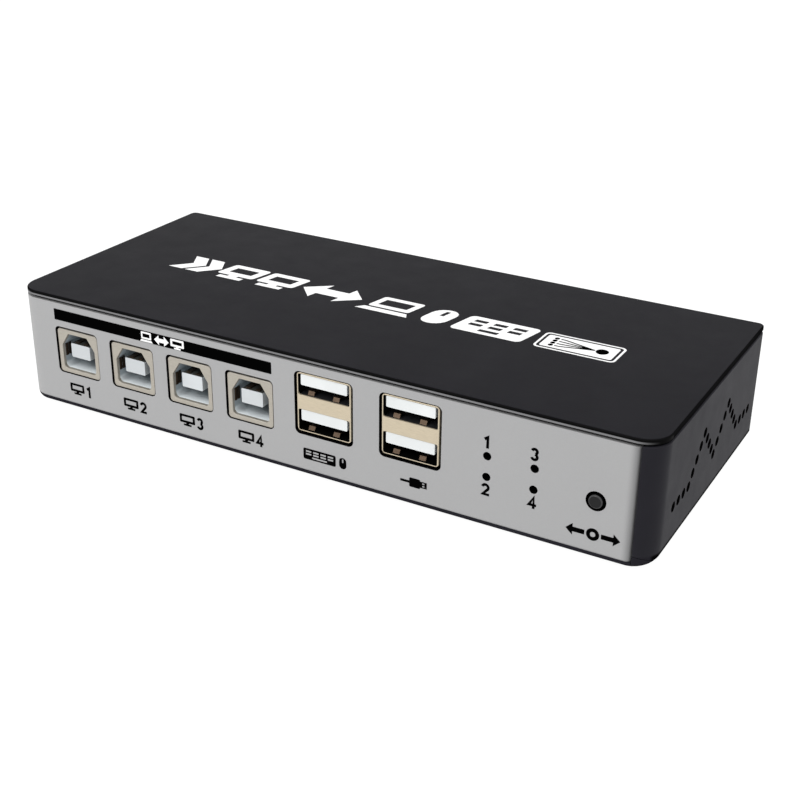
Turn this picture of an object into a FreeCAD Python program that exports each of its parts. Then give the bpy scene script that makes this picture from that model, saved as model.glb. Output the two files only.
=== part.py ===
import FreeCAD, Part
import math
import os

# KVM switch: a flat desktop box that shares one keyboard, mouse and screen between four computers.
# Millimetres. X runs to the right along the front, the front panel faces -Y, +Z is up.
# The origin is the middle of the footprint, on the surface that the four rubber feet stand on.

V = FreeCAD.Vector
X_AXIS = V(1, 0, 0)
Y_AXIS = V(0, 1, 0)
Z_AXIS = V(0, 0, 1)
TOUCH = 1e-3                  # two places closer than this count as the same

# --- Driving dimensions: the case ---
WIDTH = 156.0
DEPTH = 66.8
FOOT_H = 1.2                  # how far the feet stand below the base plate
CASE_H = 27.5                 # the case without its feet
FRONT_R = 5.4                 # plan radius of the two front corners
BACK_R = 1.5                  # plan radius of the two back corners
WALL = 2.0
LID_T = 1.25
LID_EDGE_R = 0.4
BASE_T = 2.0
RIM_H = 0.6                   # height of the base plate's outer rim
FRONT_EDGE_R = 0.8            # rounding of the bottom edge along the front
SIDE_EDGE_R = 2.2             # the same along the sides; it grows round the front corners
BACK_EDGE_R = 1.2
SEAM = 0.2                    # chamfer on the pieces beside a seam
LID_GAP = 0.35                # shadow gap between the lid and the side and rear walls
LID_STEP_T = 0.2              # the lid's underside is thicker behind the gap
LID_STEP_BACK = 0.6
FIT = 0.15                    # assembly clearance between case pieces
SMALLEST_R = 0.2              # plan radius that an inner outline keeps at its corners

FRONT_Y = -DEPTH / 2
BACK_Y = DEPTH / 2
BASE_Z = FOOT_H
BASE_TOP = BASE_Z + BASE_T
TOP_Z = BASE_Z + CASE_H
LID_Z = TOP_Z - LID_T

# --- Silver front panel ---
PANEL_GAP = 0.5               # shadow gap under the lid
PANEL_RIGHT = 73.85           # right end of the panel, just round the corner
PANEL_LEFT_Y = FRONT_Y + 2.6  # the left end wraps further round its corner
PANEL_LIP_H = 1.1             # the base plate's lip below the panel
PANEL_LIP_GAP = 0.1
CORNER_LIP_H = 2.5            # the base plate's rim beside the panel's right end, where it slopes down
PANEL_END_R = 1.2
REAR_PANEL_HALF = 73.0

# --- Lid lip, screw posts, ribs ---
LIP_T = 1.2
LIP_H = 1.4
POST_R = 2.9
POST_X = 72.4
POST_Y = (-20.0, 24.0)
POST_BASE_R = 3.2
POST_BASE_H = 1.0
RIB_T = 1.2
RIB_H = 2.8
RIB_HALF = 66.0

# --- Main board ---
BOARD_TOP = 9.9
BOARD_T = 1.6
BOARD_HALF_X = 68.9
BOARD_HALF_Y = 30.6
BOARD_CORNER_R = 1.5
STANDOFF_R = 3.0
STANDOFF_X = 62.0
STANDOFF_Y = (-10.0, 15.0)

# --- Screws ---
CASE_SCREW = dict(shank=1.3, hole=1.45, head=2.2, head_h=1.3, length=9.0, recess=2.4, recess_h=1.5)
BOARD_SCREW = dict(shank=1.2, hole=1.4, head=2.2, head_h=1.6, length=6.0)
PILOT_FIT = 0.05
DRIVE_W = 0.55                # width of the cross recess
DRIVE_DEPTH = 0.7

# --- Rubber feet ---
FOOT_R = 5.0
FOOT_RECESS = 0.5
FOOT_X = 61.0
FOOT_Y = 23.5
FOOT_EDGE_R = 0.5

# --- Square sockets (to the four computers) ---
SQUARE_X0 = -61.2
SQUARE_PITCH = 16.0
SQUARE_COUNT = 4
SQUARE_W = 11.7
SQUARE_H = 10.8
SQUARE_D = 16.2
SQUARE_OPEN_W = 9.5
SQUARE_OPEN_H = 8.75
SQUARE_NOTCH = (2.0, 3.0)     # width and height cut off the two upper corners
SQUARE_FOOT_R = 1.0           # rounding of the two lower corners
SQUARE_FACE_T = 0.8
SQUARE_CAVITY_D = 9.3
SQUARE_TONGUE_W = 5.5
SQUARE_TONGUE_H = 3.4
SQUARE_TONGUE_UP = 0.25       # how far the tongue sits above the opening's middle
SQUARE_TONGUE_BACK = 0.75     # how far the tongue's tip lies behind the socket's face
SQUARE_HOLE_GAP = (0.35, 0.35)     # clearance in the panel at each side, and above and below
SQUARE_HOLE_SHIFT = (-0.05, 0.2)   # the panel's hole against the socket
SQUARE_STRIP_X = 1.25
SQUARE_STRIP_W = 1.0
SQUARE_SPRINGS = (0.9, 1.9)   # ground springs in each side wall, behind the socket's face
SQUARE_SPRING_W = 0.7
SQUARE_SPRING_Z = (-1.6, 1.3)  # their reach below and above the opening's middle
SHELL_T = 0.35
SHELL_R = 0.8
SHELL_EDGE_R = 0.15
CORE_FIT = 0.05               # clearance between a shell and its core
TONGUE_EDGE_R = 0.25
STRIP_BACK = 0.5              # how far the strips start behind their tongue's tip
SOCKET_RECESS = 0.2           # how far the socket faces lie behind the case's outer faces
REAR_GAP = 0.3                # clearance between a rear socket and its cut-out

# --- Double sockets (keyboard, mouse and other devices) ---
DOUBLE_X = (5.45, 25.9)
DOUBLE_W = 13.15
DOUBLE_H = 13.5
DOUBLE_D = 17.5
DOUBLE_Z = 11.325             # underside of the shell
DOUBLE_OPEN_W = 12.5
DOUBLE_OPEN_H = 4.85
DOUBLE_OPEN_R = 0.4
DOUBLE_PITCH = 8.1
DOUBLE_TONGUE_W = 11.2
DOUBLE_TONGUE_H = 2.45
DOUBLE_TONGUE_GAP = 0.1       # free height above each tongue
DOUBLE_TONGUE_BACK = 0.1
DOUBLE_CAVITY_D = 12.0
DOUBLE_HOLE_GAP = (0.575, 0.495)
DOUBLE_HOLE_SHIFT = (0.05, -0.17)
DOUBLE_STRIPS = 4
DOUBLE_STRIP_PITCH = 2.2
DOUBLE_STRIP_W = 0.9
SPRING_X = (-3.6, 2.5)        # the two ground springs on the floor of each opening
SPRING_W = 1.5
# the leaf's side view: distance behind the socket's face, height above the floor
SPRING_PROFILE = ((0.7, 0.0), (1.2, 0.8), (1.7, 0.8), (4.3, 0.0),
                  (3.5, 0.0), (1.6, 0.5), (1.35, 0.5), (1.0, 0.0))
STRIP_T = 0.25

# --- Status lamps ---
LAMP_X = (43.2, 53.3)
LAMP_Z = (17.0, 12.4)
LAMP_HOLE_R = 0.9
LAMP_R = 1.5
LAMP_LENGTH = 4.7
HOLDER_W = 4.6
HOLDER_D = 4.8
LEAD = 0.5
LEAD_PITCH = 2.0
UPPER_LEAD_BACK = 1.2         # how far behind the lamps the two rows of leads turn down
LOWER_LEAD_BACK = 0.2
HOLDER_Y = FRONT_Y + WALL + 0.9
HOLDER_TOP = LAMP_Z[0] + 2.3
HOLDER_EDGE_R = 0.4

# --- Push button ---
BUTTON_X = 66.1
BUTTON_Z = 13.57
BUTTON_HOLE_R = 2.1
BUTTON_R = 1.45
BUTTON_PROUD = 0.5
BUTTON_TRAVEL = 0.25
CAP_LENGTH = 5.2
CAP_EDGE_R = 0.4
PLUNGER_R = 0.9
PLUNGER_FIT = 0.08
SWITCH_W = 5.6
SWITCH_H = 6.0
SWITCH_Y = (FRONT_Y + 5.8, FRONT_Y + 9.2)
SWITCH_LEG_Y = (FRONT_Y + 6.7, FRONT_Y + 8.2)
SWITCH_LEG_W = 0.8
SWITCH_CAVITY = 1.9
DOME_R = 1.6
DOME_T = 0.12

# --- Side vents ---
VENT_R = 1.1
VENT_FLAT_PITCH = 3.05
VENT_SLOPE_STEP = V(0, 1.99, 2.11)
VENT_START_Y = -23.1
VENT_LOW_Z = 10.7

# --- Rear sockets ---
VIDEO_X = (56.0, 34.0, 12.0, -10.0, -34.0)
VIDEO_W = 15.0
VIDEO_H = 5.9
VIDEO_D = 12.0
VIDEO_OPEN_W = 14.0
VIDEO_OPEN_H = 4.6
VIDEO_NOTCH = (1.3, 1.3)
VIDEO_FOOT_R = 0.3
VIDEO_TONGUE_W = 11.6
VIDEO_TONGUE_H = 1.2
VIDEO_CAVITY_D = 7.5
VIDEO_CONTACTS = {1: 10, -1: 9}    # strips on the top and on the underside of each tongue
VIDEO_STRIP_PITCH = 1.0
VIDEO_STRIP_W = 0.4
VIDEO_STRIP_T = 0.1
VIDEO_STRIP_BACK = 1.4        # how far the strips' ends lie behind the socket's face
VIDEO_TONGUE_BACK = 0.6
JACK_X = -57.0
JACK_W = 9.0
JACK_H = 11.0
JACK_D = 12.0
JACK_NOSE_R = 3.9
JACK_NOSE_L = 2.0
JACK_BORE_R = 2.85
JACK_BORE_D = 9.5
JACK_PIN_R = 1.05
JACK_PIN_L = 8.6
JACK_AXIS_H = 6.4             # above the board
JACK_LEAF = (1.2, 6.5, 0.3)   # width, length and thickness of the leaf spring

# --- Parts on the board ---
SWITCHER_AT = (14.0, 2.0)
SWITCHER_SIDE = 14.0
SWITCHER_H = 1.2
SINK_SIDE = 20.0
SINK_H = 6.0
SINK_BASE = 1.5
SINK_FINS = 7
SINK_FIN_T = 1.0
CHIPS = ((-36.0, -4.0, 9.0, 1.0), (46.0, -6.0, 7.0, 1.0), (-14.0, 8.0, 6.0, 0.9))
CRYSTALS = ((-36.0, 7.0), (34.0, -6.0))
CRYSTAL_SIZE = (11.0, 4.4, 3.4)
CAPACITORS = ((-50.0, 4.0), (-50.0, 12.0), (48.0, 8.0), (-24.0, -8.0))
CAPACITOR_R = 3.1
CAPACITOR_H = 7.5
CAPACITOR_BASE_H = 0.8


# --- Small builders ---
def block(x0, x1, y0, y1, z0, z1):
    return Part.makeBox(x1 - x0, y1 - y0, z1 - z0, V(x0, y0, z0))


def rod(x, y, z, radius, length, axis):
    return Part.makeCylinder(radius, length, V(x, y, z), axis)


def filleted(shape, radius, wanted):
    """Rounds the edges for which wanted(edge) is true."""
    edges = [edge for edge in shape.Edges if wanted(edge)]
    return shape.makeFillet(radius, edges)


def chamfered(shape, size, wanted):
    edges = [edge for edge in shape.Edges if wanted(edge)]
    return shape.makeChamfer(size, edges)


def lies_at(edge, axis, value):
    """True where the whole edge has this coordinate."""
    box = edge.BoundBox
    low, high = {"x": (box.XMin, box.XMax), "y": (box.YMin, box.YMax), "z": (box.ZMin, box.ZMax)}[axis]
    return abs(low - value) < TOUCH and abs(high - value) < TOUCH


def runs_along(edge, axis):
    direction = edge.tangentAt(edge.FirstParameter)
    return edge.Curve.TypeId == "Part::GeomLine" and abs(abs(direction.dot(axis)) - 1) < 1e-6


def arc(centre, radius, degrees):
    """Arc through three angles about a centre in the plan."""
    points = [centre + V(math.cos(math.radians(a)), math.sin(math.radians(a)), 0) * radius for a in degrees]
    return Part.Arc(*points).toShape()


def closed_prism(arcs, z0, z1):
    """Joins arcs and points in their order with straight lines and extrudes the outline from z0 to z1."""
    edges = [piece for piece in arcs if piece.Edges]
    for piece, following in zip(arcs, arcs[1:] + arcs[:1]):
        edges.append(Part.makeLine(piece.Vertexes[-1].Point, following.Vertexes[0].Point))
    wire = Part.Wire(Part.__sortEdges__(edges))
    return Part.Face(wire).extrude(V(0, 0, z1 - z0))


def plan_prism(inset, z0, z1):
    """The case's plan outline, moved inwards by inset and extruded from z0 to z1."""
    half_w = WIDTH / 2
    half_d = DEPTH / 2
    corners = ((-half_w + FRONT_R, -half_d + FRONT_R, FRONT_R, 225),
               (half_w - FRONT_R, -half_d + FRONT_R, FRONT_R, 315),
               (half_w - BACK_R, half_d - BACK_R, BACK_R, 45),
               (-half_w + BACK_R, half_d - BACK_R, BACK_R, 135))
    arcs = []
    for x, y, radius, middle in corners:
        shrunk = max(radius - inset, SMALLEST_R)
        shift = radius - inset - shrunk
        centre = V(x + shift * math.copysign(1, x), y + shift * math.copysign(1, y), z0)
        arcs.append(arc(centre, shrunk, (middle - 45, middle, middle + 45)))
    return closed_prism(arcs, z0, z1)


def rounded_bar(x, z, width, height, y0, y1, radius):
    """A bar along Y with rounded long edges, centred on x and z."""
    bar = block(x - width / 2, x + width / 2, y0, y1, z - height / 2, z + height / 2)
    return filleted(bar, radius, lambda edge: runs_along(edge, Y_AXIS))


def notched_bar(x, z, size, notch, foot_r, y0, y1, up):
    """A bar along Y with two corners cut off, at the top when up is 1 and at the bottom when -1.

    The other two corners are rounded to foot_r.
    """
    half_w = size[0] / 2
    far = z + up * size[1] / 2
    near = z - up * size[1] / 2
    bend = far - up * notch[1]
    outline = [V(x - half_w, y0, near), V(x + half_w, y0, near), V(x + half_w, y0, bend),
               V(x + half_w - notch[0], y0, far), V(x - half_w + notch[0], y0, far), V(x - half_w, y0, bend)]
    bar = Part.Face(Part.makePolygon(outline + outline[:1])).extrude(V(0, y1 - y0, 0))
    return filleted(bar, foot_r, lambda edge: runs_along(edge, Y_AXIS) and lies_at(edge, "z", near))


def panel_hole(x, z, size, gap, shift):
    """The cut-out in the front panel round a socket of this size."""
    return rounded_bar(x + shift[0], z + shift[1], size[0] + 2 * gap[0], size[1] + 2 * gap[1],
                       FRONT_Y - 1, FRONT_Y + WALL + 1, SHELL_R + min(gap))


def screw(x, y, z, up, sizes):
    """A pan-head screw whose head seats at z, with its shank pointing along up (1 or -1)."""
    axis = V(0, 0, up)
    head = rod(x, y, z, sizes["head"], sizes["head_h"], -axis)
    head = filleted(head, 0.4, lambda edge: lies_at(edge, "z", z - up * sizes["head_h"]))
    shank = rod(x, y, z, sizes["shank"], sizes["length"], axis)
    top = z - up * sizes["head_h"]
    floor = top + up * DRIVE_DEPTH
    reach = sizes["head"] * 0.6
    low, high = sorted((top, floor))
    cross = block(x - reach, x + reach, y - DRIVE_W / 2, y + DRIVE_W / 2, low, high)
    cross = cross.fuse(block(x - DRIVE_W / 2, x + DRIVE_W / 2, y - reach, y + reach, low, high))
    return head.fuse(shank).cut(cross)


# --- Where things are ---
SQUARE_XS = [SQUARE_X0 + SQUARE_PITCH * i for i in range(SQUARE_COUNT)]
SQUARE_CZ = BOARD_TOP + SQUARE_H / 2
DOUBLE_CZ = DOUBLE_Z + DOUBLE_H / 2
SOCKET_Y = FRONT_Y + SOCKET_RECESS
VIDEO_FACE_Y = BACK_Y - SOCKET_RECESS
VIDEO_CZ = BOARD_TOP + VIDEO_H / 2
JACK_CZ = BOARD_TOP + JACK_AXIS_H
JACK_FACE_Y = BACK_Y - WALL - FIT
LAMP_SPOTS = [(x, z) for x in LAMP_X for z in LAMP_Z]
BOARD_BOTTOM = BOARD_TOP - BOARD_T
POSTS = [(x, y) for x in (-POST_X, POST_X) for y in POST_Y]
STANDOFFS = [(x, y) for x in (-STANDOFF_X, STANDOFF_X) for y in STANDOFF_Y]
FEET = [(x, y) for y in (-FOOT_Y, FOOT_Y) for x in (-FOOT_X, FOOT_X)]
INNER = WALL + FIT


def vent_spots():
    """Vent holes as (y, z): a flat run, two zigzag peaks, and another flat run."""
    spots = [(VENT_START_Y + VENT_FLAT_PITCH * i, VENT_LOW_Z) for i in range(4)]
    y, z = spots[-1]
    for direction in (1, -1, 1, -1):
        for _ in range(4):
            y += VENT_SLOPE_STEP.y
            z += VENT_SLOPE_STEP.z * direction
            spots.append((y, z))
    spots += [(y + VENT_FLAT_PITCH * i, VENT_LOW_Z) for i in range(1, 4)]
    return spots


# --- Case ---
def bottom_radius(point):
    """The radius of the case's bottom edge at a corner of its outline."""
    if abs(point.y - FRONT_Y) < TOUCH:
        return FRONT_EDGE_R
    return SIDE_EDGE_R


def case_skin():
    """The case below the lid as one solid, with a bottom edge that changes round the front corners."""
    side = WIDTH / 2 - FRONT_R
    front = FRONT_Y + FRONT_R
    left = arc(V(-side, front, BASE_Z), FRONT_R, (180, 225, 270))
    right = arc(V(side, front, BASE_Z), FRONT_R, (270, 315, 360))
    corners = [Part.Vertex(WIDTH / 2, BACK_Y, BASE_Z), Part.Vertex(-WIDTH / 2, BACK_Y, BASE_Z)]
    solid = closed_prism([left, right] + corners, BASE_Z, LID_Z)
    rounded = [(index, bottom_radius(edge.firstVertex().Point), bottom_radius(edge.lastVertex().Point))
               for index, edge in enumerate(solid.Edges, 1)
               if lies_at(edge, "z", BASE_Z) and not lies_at(edge, "y", BACK_Y)]
    document = FreeCAD.newDocument()
    base = document.addObject("Part::Feature", "base")
    base.Shape = solid
    fillet = document.addObject("Part::Fillet", "fillet")
    fillet.Base = base
    fillet.Edges = rounded
    document.recompute()
    skin = fillet.Shape.copy()
    FreeCAD.closeDocument(document.Name)
    skin = filleted(skin, BACK_EDGE_R, lambda edge: lies_at(edge, "z", BASE_Z) and lies_at(edge, "y", BACK_Y))
    return skin.common(plan_prism(0, BASE_Z, LID_Z))


SKIN = case_skin()


def skin_ring():
    """The case's outer wall, one wall thick."""
    return SKIN.cut(plan_prism(WALL, BASE_Z, LID_Z))


def rim_room(extra):
    """The room below the side walls for the base plate's rim, made higher by extra."""
    rim = block(-WIDTH, WIDTH, -DEPTH, DEPTH, 0, BASE_Z + RIM_H + extra)
    corner = V(PANEL_RIGHT, FRONT_Y, 0)
    slope_end = V(WIDTH / 2, FRONT_Y + FRONT_R, 0)
    along = V(1, 1, 0) / math.sqrt(2)
    across = V(1, -1, 0) / math.sqrt(2)
    run = (slope_end - corner).dot(along)
    start = corner - across * run
    outline = [start, start + along * run, start + along * run + V(0, 0, BASE_Z + RIM_H + extra),
               start + V(0, 0, BASE_Z + CORNER_LIP_H + extra)]
    wedge = Part.Face(Part.makePolygon(outline + outline[:1])).extrude(across * 2 * run)
    wedge = wedge.common(block(PANEL_RIGHT + FIT - extra, WIDTH, -DEPTH, 0, 0, TOP_Z))
    return rim.fuse(wedge)


def front_reach(extra, z0, z1):
    """The stretch of the outline that belongs to the front panel, made longer by extra at both ends."""
    return block(-WIDTH, PANEL_RIGHT + extra, FRONT_Y - WALL, PANEL_LEFT_Y + extra, z0, z1)


def make_front_panel():
    low = BASE_Z + PANEL_LIP_H + PANEL_LIP_GAP
    panel = skin_ring().common(front_reach(0, low, LID_Z - PANEL_GAP))
    panel = filleted(panel, PANEL_END_R, lambda edge: lies_at(edge, "x", PANEL_RIGHT)
                     and edge.CenterOfMass.y < FRONT_Y + WALL / 2 and runs_along(edge, Z_AXIS))
    for x in SQUARE_XS:
        panel = panel.cut(panel_hole(x, SQUARE_CZ, (SQUARE_W, SQUARE_H), SQUARE_HOLE_GAP, SQUARE_HOLE_SHIFT))
    for x in DOUBLE_X:
        panel = panel.cut(panel_hole(x, DOUBLE_CZ, (DOUBLE_W, DOUBLE_H), DOUBLE_HOLE_GAP, DOUBLE_HOLE_SHIFT))
    for x, z in LAMP_SPOTS:
        panel = panel.cut(rod(x, FRONT_Y - WALL, z, LAMP_HOLE_R, 3 * WALL, Y_AXIS))
    return panel.cut(rod(BUTTON_X, FRONT_Y - WALL, BUTTON_Z, BUTTON_HOLE_R, 3 * WALL, Y_AXIS))


def make_rear_panel():
    panel = block(-REAR_PANEL_HALF, REAR_PANEL_HALF, BACK_Y - WALL, BACK_Y, BASE_TOP + FIT, LID_Z - LID_GAP)
    panel = chamfered(panel, SEAM, lambda edge: lies_at(edge, "y", BACK_Y))
    for x in VIDEO_X:
        panel = panel.cut(rounded_bar(x, VIDEO_CZ, VIDEO_W + 2 * REAR_GAP, VIDEO_H + 2 * REAR_GAP,
                                      BACK_Y - 2 * WALL, BACK_Y + WALL, SHELL_R))
    return panel.cut(rod(JACK_X, BACK_Y - 2 * WALL, JACK_CZ, JACK_NOSE_R + REAR_GAP, 3 * WALL, Y_AXIS))


def make_side(sign):
    """One side wall with its two corners and its vents; sign is -1 for left and 1 for right."""
    high = LID_Z - LID_GAP
    rear = REAR_PANEL_HALF + FIT
    left, right = sorted((0, sign * WIDTH))
    wall = skin_ring().common(block(left, right, -DEPTH, DEPTH, 0, high))
    wall = wall.cut(rim_room(FIT)).cut(front_reach(FIT, 0, TOP_Z))
    wall = wall.cut(block(-rear, rear, 0, DEPTH, 0, TOP_Z))
    wall = chamfered(wall, SEAM, lambda edge: lies_at(edge, "z", high) and on_outside(edge))
    for y, z in vent_spots():
        wall = wall.cut(rod(sign * WIDTH / 2 - 2 * WALL, y, z, VENT_R, 4 * WALL, X_AXIS))
    return wall


def on_outside(edge):
    """True for a long edge that lies on the case's outer plan outline."""
    middle = edge.valueAt((edge.FirstParameter + edge.LastParameter) / 2)
    outline = plan_prism(0, middle.z - 1, middle.z + 1).Shells[0]
    return outline.distToShape(Part.Vertex(middle))[0] < TOUCH and edge.Length > WALL


def make_top_cover():
    slab = plan_prism(0, LID_Z, TOP_Z)
    slab = filleted(slab, LID_EDGE_R, lambda edge: lies_at(edge, "z", TOP_Z))
    slab = chamfered(slab, SEAM, lambda edge: lies_at(edge, "z", LID_Z))
    lip = plan_prism(INNER, LID_Z - LIP_H, LID_Z).cut(plan_prism(INNER + LIP_T, LID_Z - LIP_H, LID_Z))
    cover = slab.fuse(lip).fuse(plan_prism(LID_STEP_BACK, LID_Z - LID_STEP_T, LID_Z))
    post_foot = BASE_TOP + POST_BASE_H
    for x, y in POSTS:
        cover = cover.fuse(rod(x, y, post_foot, POST_R, LID_Z - post_foot, Z_AXIS))
        pilot = CASE_SCREW["shank"] + PILOT_FIT
        cover = cover.cut(rod(x, y, post_foot, pilot, CASE_SCREW["length"], Z_AXIS))
    return cover.removeSplitter()


def make_base_plate():
    front_rib = FRONT_Y + INNER
    rear_rib = BACK_Y - INNER
    rim = rim_room(0)
    rim = rim.fuse(front_reach(0, 0, BASE_Z + PANEL_LIP_H))
    rim = rim.fuse(block(-REAR_PANEL_HALF, REAR_PANEL_HALF, rear_rib - RIB_T, DEPTH, 0, BASE_TOP))
    base = SKIN.common(rim).fuse(plan_prism(INNER, BASE_Z, BASE_TOP).common(SKIN))
    base = base.fuse(block(-RIB_HALF, RIB_HALF, front_rib, front_rib + RIB_T, BASE_TOP, BASE_TOP + RIB_H))
    base = base.fuse(block(-RIB_HALF, RIB_HALF, rear_rib - RIB_T, rear_rib, BASE_TOP, BASE_TOP + RIB_H))
    for x, y in POSTS:
        base = base.fuse(rod(x, y, BASE_TOP, POST_BASE_R, POST_BASE_H, Z_AXIS))
        base = base.cut(rod(x, y, BASE_Z, CASE_SCREW["hole"], BASE_T + POST_BASE_H, Z_AXIS))
        base = base.cut(rod(x, y, BASE_Z, CASE_SCREW["recess"], CASE_SCREW["recess_h"], Z_AXIS))
    for x, y in STANDOFFS:
        base = base.fuse(rod(x, y, BASE_TOP, STANDOFF_R, BOARD_BOTTOM - BASE_TOP, Z_AXIS))
        pilot = BOARD_SCREW["shank"] + PILOT_FIT
        base = base.cut(rod(x, y, BASE_TOP, pilot, BOARD_BOTTOM - BASE_TOP, Z_AXIS))
    for x, y in FEET:
        base = base.cut(rod(x, y, BASE_Z, FOOT_R + FIT, FOOT_RECESS, Z_AXIS))
    return base.removeSplitter()


def make_foot(x, y):
    foot = rod(x, y, 0, FOOT_R, FOOT_H + FOOT_RECESS, Z_AXIS)
    return filleted(foot, FOOT_EDGE_R, lambda edge: lies_at(edge, "z", 0))


def make_case_screws():
    seat = BASE_Z + CASE_SCREW["recess_h"]
    return Part.makeCompound([screw(x, y, seat, 1, CASE_SCREW) for x, y in POSTS])


def make_board_screws():
    return Part.makeCompound([screw(x, y, BOARD_TOP, -1, BOARD_SCREW) for x, y in STANDOFFS])


def make_main_board():
    board = block(-BOARD_HALF_X, BOARD_HALF_X, -BOARD_HALF_Y, BOARD_HALF_Y, BOARD_BOTTOM, BOARD_TOP)
    board = filleted(board, BOARD_CORNER_R, lambda edge: runs_along(edge, Z_AXIS))
    for x, y in STANDOFFS:
        board = board.cut(rod(x, y, BOARD_BOTTOM, BOARD_SCREW["hole"], BOARD_T, Z_AXIS))
    return board


# --- Square sockets ---
SQUARE_OPENING = (SQUARE_OPEN_W, SQUARE_OPEN_H)
SQUARE_TONGUE_Z = SQUARE_CZ + SQUARE_TONGUE_UP


def socket_shell(x, z, size, depth, face_t):
    """A folded metal box, open at the back, with a front wall of thickness face_t."""
    shell = rounded_bar(x, z, size[0], size[1], SOCKET_Y, SOCKET_Y + depth, SHELL_R)
    shell = filleted(shell, SHELL_EDGE_R, lambda edge: lies_at(edge, "y", SOCKET_Y))
    return shell.cut(rounded_bar(x, z, size[0] - 2 * SHELL_T, size[1] - 2 * SHELL_T,
                                 SOCKET_Y + face_t, SOCKET_Y + depth + 1, SHELL_R - SHELL_T))


def socket_core(x, z, size, depth, face_t):
    """The plastic block that fills a shell behind its front wall."""
    wall = SHELL_T + CORE_FIT
    return rounded_bar(x, z, size[0] - 2 * wall, size[1] - 2 * wall,
                       SOCKET_Y + face_t, SOCKET_Y + depth, SHELL_R - SHELL_T)


def make_square_shell(x):
    shell = socket_shell(x, SQUARE_CZ, (SQUARE_W, SQUARE_H), SQUARE_D, SQUARE_FACE_T)
    shell = shell.cut(notched_bar(x, SQUARE_CZ, SQUARE_OPENING, SQUARE_NOTCH, SQUARE_FOOT_R,
                                  SOCKET_Y - 1, SOCKET_Y + SQUARE_D, 1))
    return filleted(shell, SHELL_EDGE_R, lambda edge: lies_at(edge, "y", SOCKET_Y)
                    and abs(edge.CenterOfMass.x - x) < SQUARE_OPEN_W / 2 + TOUCH
                    and abs(edge.CenterOfMass.z - SQUARE_CZ) < SQUARE_OPEN_H / 2 + TOUCH)


def make_square_core(x):
    floor = SOCKET_Y + SQUARE_CAVITY_D
    core = socket_core(x, SQUARE_CZ, (SQUARE_W, SQUARE_H), SQUARE_D, SQUARE_FACE_T)
    core = core.cut(notched_bar(x, SQUARE_CZ, SQUARE_OPENING, SQUARE_NOTCH, SQUARE_FOOT_R,
                                SOCKET_Y, floor, 1))
    tongue = rounded_bar(x, SQUARE_TONGUE_Z, SQUARE_TONGUE_W, SQUARE_TONGUE_H,
                         SOCKET_Y + SQUARE_TONGUE_BACK, floor, TONGUE_EDGE_R)
    return core.fuse(tongue).removeSplitter()


def make_square_contacts(x):
    """Two strips on the tongue's top, two on its underside, and a ground spring pair at each side."""
    y0 = SOCKET_Y + SQUARE_TONGUE_BACK + STRIP_BACK
    y1 = SOCKET_Y + SQUARE_CAVITY_D
    low = SQUARE_TONGUE_Z - SQUARE_TONGUE_H / 2
    high = SQUARE_TONGUE_Z + SQUARE_TONGUE_H / 2
    pieces = []
    for offset in (-SQUARE_STRIP_X, SQUARE_STRIP_X):
        left = x + offset - SQUARE_STRIP_W / 2
        right = left + SQUARE_STRIP_W
        pieces.append(block(left, right, y0, y1, high, high + STRIP_T))
        pieces.append(block(left, right, y0, y1, low - STRIP_T, low))
    for side in (-1, 1):
        wall = x + side * SQUARE_OPEN_W / 2
        left, right = sorted((wall, wall - side * STRIP_T))
        for start in SQUARE_SPRINGS:
            front = SOCKET_Y + start
            pieces.append(block(left, right, front, front + SQUARE_SPRING_W,
                                SQUARE_CZ + SQUARE_SPRING_Z[0], SQUARE_CZ + SQUARE_SPRING_Z[1]))
    return Part.makeCompound(pieces)


# --- Double sockets ---
DOUBLE_OPENINGS = (DOUBLE_CZ + DOUBLE_PITCH / 2, DOUBLE_CZ - DOUBLE_PITCH / 2)
TONGUE_DROP = DOUBLE_OPEN_H / 2 - DOUBLE_TONGUE_GAP - DOUBLE_TONGUE_H    # tongue's underside over the middle


def make_double_shell(x):
    shell = socket_shell(x, DOUBLE_CZ, (DOUBLE_W, DOUBLE_H), DOUBLE_D, SHELL_T)
    for z in DOUBLE_OPENINGS:
        shell = shell.cut(rounded_bar(x, z, DOUBLE_OPEN_W, DOUBLE_OPEN_H,
                                      SOCKET_Y - 1, SOCKET_Y + DOUBLE_D, DOUBLE_OPEN_R))
    return shell


def make_double_core(x):
    """The core, which is a back, a shelf between the openings and two tongues, and the block under it."""
    floor = SOCKET_Y + DOUBLE_CAVITY_D
    core = socket_core(x, DOUBLE_CZ, (DOUBLE_W, DOUBLE_H), DOUBLE_D, DOUBLE_CAVITY_D)
    half_w = DOUBLE_W / 2 - SHELL_T - CORE_FIT
    half_h = (DOUBLE_PITCH - DOUBLE_OPEN_H) / 2
    core = core.fuse(block(x - half_w, x + half_w, SOCKET_Y + SHELL_T + CORE_FIT, floor,
                           DOUBLE_CZ - half_h, DOUBLE_CZ + half_h))
    for z in DOUBLE_OPENINGS:
        middle = z + TONGUE_DROP + DOUBLE_TONGUE_H / 2
        core = core.fuse(rounded_bar(x, middle, DOUBLE_TONGUE_W, DOUBLE_TONGUE_H,
                                     SOCKET_Y + DOUBLE_TONGUE_BACK, floor, TONGUE_EDGE_R))
    pedestal = block(x - DOUBLE_W / 2, x + DOUBLE_W / 2, FRONT_Y + 2 * WALL, SOCKET_Y + DOUBLE_D,
                     BOARD_TOP, DOUBLE_Z)
    return Part.makeCompound([core.removeSplitter(), pedestal])


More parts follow.
